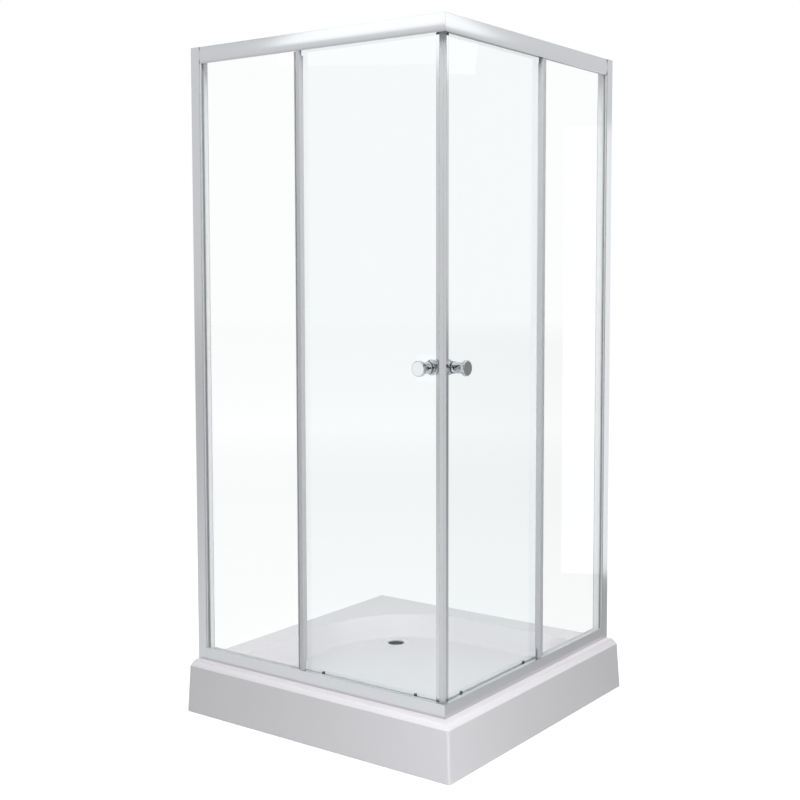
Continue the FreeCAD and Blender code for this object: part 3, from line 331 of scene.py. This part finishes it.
def cast_acrylic(name, code, roughness):
    """Gloss acrylic: even white, with the faint orange peel and polish haze of a formed sheet."""
    material, tree, shader = new_material(name)
    shader.inputs["Base Color"].default_value = colour(code)
    shader.inputs["IOR"].default_value = 1.49
    place = add_node(tree, "ShaderNodeTexCoord").outputs["Object"]
    haze_size, peel_size = 0.0714, 0.007
    haze = add_node(
        tree, "ShaderNodeTexNoise", {"Scale": 1 / haze_size, "Detail": 3.0}, {"Vector": place}
    )
    spread = add_node(
        tree, "ShaderNodeMapRange", {"To Min": roughness - 0.03, "To Max": roughness + 0.05},
        {"Value": haze.outputs["Fac"]},
    )
    peel = add_node(
        tree, "ShaderNodeTexNoise", {"Scale": 1 / peel_size, "Detail": 1.0}, {"Vector": place}
    )
    bump = add_node(
        tree, "ShaderNodeBump", {"Strength": 0.12, "Distance": 0.0002}, {"Height": peel.outputs["Fac"]}
    )
    tree.links.new(spread.outputs["Result"], shader.inputs["Roughness"])
    tree.links.new(bump.outputs["Normal"], shader.inputs["Normal"])
    return material


# Gloss white with a breath of pink, which the green of the glass in front of it cancels.
tray_acrylic = cast_acrylic("cast white acrylic", "#f0ebf0", 0.16)
tray = paint(finished_copy("tray", 0.0), tray_acrylic)


# ---- Board, crossbars and feet under the tray ----
# Raw chipboard is glassed into the back of the tray. Zinc-plated square tubes cross it, and
# threaded rods with lock nuts carry them on black pads that screw up and down.
def chipboard():
    """Pressed wood flakes: pale and dark chips a few millimetres long, dry and matt."""
    material, tree, shader = new_material("raw chipboard")
    place = add_node(tree, "ShaderNodeTexCoord").outputs["Object"]
    chip_length = 0.006
    chips = add_node(tree, "ShaderNodeTexVoronoi", {"Scale": 1 / chip_length}, {"Vector": place})
    tone = add_node(tree, "ShaderNodeSeparateColor", {}, {"Color": chips.outputs["Color"]})
    ramp = add_node(tree, "ShaderNodeValToRGB", {}, {"Fac": tone.outputs["Red"]})
    ramp.color_ramp.elements[0].color = colour("#9c7f55")
    ramp.color_ramp.elements[1].color = colour("#cdb385")
    tree.links.new(ramp.outputs["Color"], shader.inputs["Base Color"])
    bump = add_node(
        tree, "ShaderNodeBump", {"Strength": 0.4, "Distance": 0.0004}, {"Height": tone.outputs["Red"]}
    )
    tree.links.new(bump.outputs["Normal"], shader.inputs["Normal"])
    shader.inputs["Roughness"].default_value = 0.85
    return material


def zinc_plate(name, code, roughness):
    """Bright zinc over steel: a cool grey with a faint cloudy spangle."""
    material, tree, shader = new_material(name)
    shader.inputs["Metallic"].default_value = 1.0
    shader.inputs["Base Color"].default_value = colour(code)
    place = add_node(tree, "ShaderNodeTexCoord").outputs["Object"]
    spangle_size = 0.008
    spangle = add_node(tree, "ShaderNodeTexVoronoi", {"Scale": 1 / spangle_size}, {"Vector": place})
    tone = add_node(tree, "ShaderNodeSeparateColor", {}, {"Color": spangle.outputs["Color"]})
    spread = add_node(
        tree, "ShaderNodeMapRange", {"To Min": roughness - 0.06, "To Max": roughness + 0.08},
        {"Value": tone.outputs["Green"]},
    )
    tree.links.new(spread.outputs["Result"], shader.inputs["Roughness"])
    return material


def moulded_plastic(name, code, roughness, grain=0.0006, depth=0.00003, clear=0.0):
    """Injection-moulded plastic: even colour with the fine grain of a spark-eroded mould."""
    material, tree, shader = new_material(name)
    shader.inputs["Base Color"].default_value = colour(code)
    shader.inputs["Transmission Weight"].default_value = clear
    place = add_node(tree, "ShaderNodeTexCoord").outputs["Object"]
    texture = add_node(tree, "ShaderNodeTexNoise", {"Scale": 1 / grain, "Detail": 2.0}, {"Vector": place})
    spread = add_node(
        tree, "ShaderNodeMapRange", {"To Min": roughness - 0.05, "To Max": roughness + 0.05},
        {"Value": texture.outputs["Fac"]},
    )
    bump = add_node(
        tree, "ShaderNodeBump", {"Strength": 0.3, "Distance": depth}, {"Height": texture.outputs["Fac"]}
    )
    tree.links.new(spread.outputs["Result"], shader.inputs["Roughness"])
    tree.links.new(bump.outputs["Normal"], shader.inputs["Normal"])
    return material


paint("tray_board", chipboard())
# Zinc gives the tubes, rods, nuts and brackets a dull, slightly blotched silver.
tube_zinc = zinc_plate("bright zinc plate", "#b9bcc2", 0.36)
for node in ("crossbars", "foot_rods", "foot_nuts", "apron_brackets"):
    paint(node, tube_zinc)
# Moulded polypropylene reads as a soft black with a broad, weak shine.
black_polypropylene = moulded_plastic("black polypropylene", "#1f2022", 0.5)
paint(finished_copy("foot_pads", 0.0006), black_polypropylene)

# ---- Waste cup ----
# The trap's round strainer tub, moulded in black polypropylene, is drawn up under the tray's waste
# hole by a screw from below. Only its dark inside shows, through the hole. That black is partly the
# plastic's own colour and partly painted shade, standing in for the dark deep down the waste.
WASTE_PLACE = (-0.2055, 0.2055)
CUP_TOP, CUP_DEPTH, CUP_RADIUS, CUP_WALL = 0.0788, 0.016, 0.040, 0.003


def waste_cup():
    """A round tub, open above, from a disc whose top is inset and pushed down."""
    bpy.ops.object.select_all(action="DESELECT")
    middle = (*WASTE_PLACE, CUP_TOP - CUP_DEPTH / 2)
    bpy.ops.mesh.primitive_cylinder_add(vertices=96, radius=CUP_RADIUS, depth=CUP_DEPTH, location=middle)
    cup = bpy.context.object
    cup.name = "waste_cup"
    bpy.ops.object.transform_apply(location=True, rotation=True, scale=True)
    in_edit_mode(cup)
    bpy.ops.mesh.select_mode(type="FACE")
    bpy.ops.mesh.select_all(action="DESELECT")
    bpy.ops.object.mode_set(mode="OBJECT")
    for face in cup.data.polygons:
        face.select = face.normal.z > 0.9
    bpy.ops.object.mode_set(mode="EDIT")
    bpy.ops.mesh.inset(thickness=CUP_WALL, depth=0)
    bpy.ops.mesh.extrude_region_move(TRANSFORM_OT_translate={"value": (0, 0, CUP_WALL - CUP_DEPTH)})
    bpy.ops.object.mode_set(mode="OBJECT")
    bpy.ops.object.shade_smooth_by_angle(angle=math.radians(35))
    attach(cup, frame["nodes"]["tray"]["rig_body"])
    return cup


paint(waste_cup(), black_polypropylene)

# ---- Apron ----
# A skirt of white acrylic-capped sheet in two lengths, mitred and welded at the entry corner, with
# its lower edge flared outwards. It clips on to four brackets below the tray's rim.
# The capped sheet is a touch greyer and less glossy than the tray.
apron_acrylic = cast_acrylic("acrylic-capped sheet", "#ecebef", 0.22)
paint(finished_copy("apron", 0.0006), apron_acrylic)


# ---- Frame: rails, wall profiles and jambs ----
# Extruded aluminium, polished and bright anodised. The rails are mitred at the entry corner, and
# the jambs slide into wall profiles so that the enclosure takes up walls out of plumb.
def bright_aluminium(name, along, code="#c8cacd", roughness=0.17, metallic=1.0):
    """Bright anodised extrusion: mirror-like, softened by polishing haze and die lines along it."""
    material, tree, shader = new_material(name)
    shader.inputs["Metallic"].default_value = metallic
    shader.inputs["Base Color"].default_value = colour(code)
    place = add_node(tree, "ShaderNodeTexCoord").outputs["Object"]
    line_width, line_length = 0.0012, 0.6
    scale = [1 / line_length if axis == along else 1 / line_width for axis in "XYZ"]
    drawn = add_node(tree, "ShaderNodeMapping", {"Scale": scale}, {"Vector": place})
    lines = add_node(
        tree, "ShaderNodeTexNoise", {"Scale": 1.0, "Detail": 2.0}, {"Vector": drawn.outputs["Vector"]}
    )
    spread = add_node(
        tree, "ShaderNodeMapRange", {"To Min": roughness - 0.04, "To Max": roughness + 0.05},
        {"Value": lines.outputs["Fac"]},
    )
    bump = add_node(
        tree, "ShaderNodeBump", {"Strength": 0.08, "Distance": 0.00005}, {"Height": lines.outputs["Fac"]}
    )
    tree.links.new(spread.outputs["Result"], shader.inputs["Roughness"])
    tree.links.new(bump.outputs["Normal"], shader.inputs["Normal"])
    return material


def line_channels(rail, side, material):
    """Give a rail's channels behind its polished front wall their matt paint, which is pale as painted light
    that lifts their shade.
    """
    # The apron's top line lies this far from the middle, and the front wall ends this far behind it.
    apron_line, front_wall = 0.4445, 0.0352
    rail.data.materials.append(material)
    for face in rail.data.polygons:
        depth = apron_line + (face.center.y if side == "left" else -face.center.x)
        if depth > front_wall:
            face.material_index = 1


# Polished faces mirror the room as long soft streaks. The matt channels are painted an even pale grey,
# painted light that lifts the shade inside them, and the jambs share that paint.
SIDES = {"left": "X", "right": "Y"}
upright_aluminium = bright_aluminium("bright anodised upright", "Z")
shade_lifting_channel_aluminium = bright_aluminium("matt anodised channel painted pale against shade", "Z", "#f3f3f4", 0.45, 0.0)
rail_aluminium = {s: bright_aluminium(f"bright anodised rail {s}", a) for s, a in SIDES.items()}
for side in SIDES:
    for rail, rounding in (("bottom_rail", 0.0004), ("top_rail", 0.0005)):
        piece = paint(finished_copy(f"{rail}_{side}", rounding), rail_aluminium[side])
        if rail == "bottom_rail":
            line_channels(piece, side, shade_lifting_channel_aluminium)
    for upright, finish in (("wall_profile", upright_aluminium), ("jamb", shade_lifting_channel_aluminium)):
        paint(finished_copy(f"{upright}_{side}", 0.0004), finish)
paint("sill_infills", upright_aluminium)
# The connectors are a flat mid grey, and the screws small bright points.
grey_polypropylene = moulded_plastic("grey polypropylene", "#a9abaf", 0.5)
for node in ("top_corner_connector", "bottom_corner_connector"):
    paint(node, grey_polypropylene)
bright_stainless = zinc_plate("bright stainless steel", "#c6c7ca", 0.22)
paint("jamb_screws", bright_stainless)


# ---- Gaskets and seals of the fixed panes ----
# Grey wedges hold the panes in their jambs. Soft pale extrusions cover each pane's free
# edge, brush the door and bed the pane in the rails.
def extruded_seal(name, code, roughness):
    """Soft extrusion: even colour, satin skin with faint drag marks of the die."""
    material, tree, shader = new_material(name)
    shader.inputs["Base Color"].default_value = colour(code)
    place = add_node(tree, "ShaderNodeTexCoord").outputs["Object"]
    drag_width = 0.00111
    drag = add_node(
        tree, "ShaderNodeTexNoise", {"Scale": 1 / drag_width, "Detail": 1.0}, {"Vector": place}
    )
    spread = add_node(
        tree, "ShaderNodeMapRange", {"To Min": roughness - 0.06, "To Max": roughness + 0.06},
        {"Value": drag.outputs["Fac"]},
    )
    bump = add_node(
        tree, "ShaderNodeBump", {"Strength": 0.2, "Distance": 0.00005}, {"Height": drag.outputs["Fac"]}
    )
    tree.links.new(spread.outputs["Result"], shader.inputs["Roughness"])
    tree.links.new(bump.outputs["Normal"], shader.inputs["Normal"])
    return material


# Rubber is dark and dull, the glazing gasket a mid grey line, and the edge seals pale and satin.
dark_rubber = extruded_seal("dark grey rubber", "#4a4b4f", 0.55)
grey_gasket = extruded_seal("grey glazing gasket", "#b4b6b9", 0.5)
grey_seal = extruded_seal("soft grey seal", "#d4d6d9", 0.35)
paint("jamb_gaskets", grey_gasket)
paint("glazing_strips", grey_seal)
paint("door_stops", extruded_seal("grey stop rubber", "#7d7f83", 0.6))
paint(finished_copy("fixed_edge_seals", 0.0003), grey_seal)


# ---- Glass ----
# Clear 5 mm toughened panes with ground and polished edges. The fixed panes stand between jamb
# and seal, and the doors hang inside them.
def toughened_glass(name, code):
    """Soda-lime float glass: clear, with the green-blue cast that its iron gives."""
    material, tree, shader = new_material(name)
    shader.inputs["Base Color"].default_value = colour(code)
    shader.inputs["Transmission Weight"].default_value = 1.0
    shader.inputs["IOR"].default_value = 1.5
    shader.inputs["Roughness"].default_value = 0.0
    path = add_node(tree, "ShaderNodeLightPath")
    open_to_lamps = add_node(tree, "ShaderNodeBsdfTransparent", {"Color": colour("#f5f8f7")})
    mixed = add_node(
        tree, "ShaderNodeMixShader", {},
        {0: path.outputs["Is Shadow Ray"], 1: shader.outputs[0], 2: open_to_lamps.outputs[0]},
    )
    out = tree.nodes["Material Output"]
    tree.links.new(mixed.outputs[0], out.inputs["Surface"])
    return material


# The fixed panes look all but colourless, and the doors carry a faint green-blue tint.
fixed_glass = toughened_glass("clear float glass", "#fcfdfd")
door_glass = toughened_glass("clear float glass of the doors", "#f5f9f9")
for side in SIDES:
    paint(finished_copy(f"fixed_glass_{side}", 0.0004), fixed_glass)
    paint(finished_copy(f"door_glass_{side}", 0.0004), door_glass)

# ---- Door edges ----
# A polished channel is pressed on each door's leading edge and carries a magnetic seal cut at
# 45 degrees, so that the two doors close on each other. A soft seal wipes the fixed pane behind.
# The magnetic strip in its sleeve is a pale grey line between the doors.
magnet_seal = extruded_seal("magnetic seal", "#e2e3e6", 0.35)
for side in SIDES:
    paint(finished_copy(f"door_edge_profile_{side}", 0.0004), upright_aluminium)
    paint(f"magnetic_seal_{side}", magnet_seal)
    paint(f"door_back_seal_{side}", grey_seal)

# ---- Rollers ----
# Each door hangs from two grooved nylon wheels on white brackets and is kept in its rail below by
# two sprung guides, whose dark buttons drop the door off the rail for cleaning.
# Nylon is an even satin: white on wheels and brackets, milky on housings, grey on the buttons.
white_nylon = moulded_plastic("white nylon", "#eceef0", 0.35)
clear_nylon = moulded_plastic("frosted white nylon", "#f2f4f6", 0.3, clear=0.25)
dark_nylon = moulded_plastic("grey nylon", "#606266", 0.42)


def chrome_plate(name, code, roughness):
    """Polished chrome: a near-perfect mirror with a little polishing haze."""
    material, tree, shader = new_material(name)
    shader.inputs["Metallic"].default_value = 1.0
    shader.inputs["Base Color"].default_value = colour(code)
    place = add_node(tree, "ShaderNodeTexCoord").outputs["Object"]
    haze_size = 0.0083
    haze = add_node(
        tree, "ShaderNodeTexNoise", {"Scale": 1 / haze_size, "Detail": 2.0}, {"Vector": place}
    )
    spread = add_node(
        tree, "ShaderNodeMapRange", {"To Min": roughness - 0.02, "To Max": roughness + 0.03},
        {"Value": haze.outputs["Fac"]},
    )
    tree.links.new(spread.outputs["Result"], shader.inputs["Roughness"])
    return material


chrome = chrome_plate("chrome plate", "#c6c8cb", 0.05)
for side in SIDES:
    paint(finished_copy(f"top_roller_brackets_{side}", 0.0004), white_nylon)
    paint(finished_copy(f"roller_bolts_{side}", 0.0003), chrome)
    paint(finished_copy(f"bottom_roller_housings_{side}", 0.0008), clear_nylon)
    for place in ("front", "back"):
        paint(f"top_wheel_{place}_{side}", white_nylon)
        paint(f"bottom_wheel_{place}_{side}", white_nylon)
        paint(finished_copy(f"release_button_{place}_{side}", 0.0005), dark_nylon)

# ---- Knobs ----
# Turned brass knobs, chromed, are screwed together through each door near its leading edge, with
# a dark rubber washer on each face of the glass.
for side in SIDES:
    for knob in ("knob_outer", "knob_inner"):
        paint(finished_copy(f"{knob}_{side}", 0.0006, 50), chrome)
    paint(f"knob_stud_{side}", bright_stainless)
    paint(f"knob_gaskets_{side}", dark_rubber)
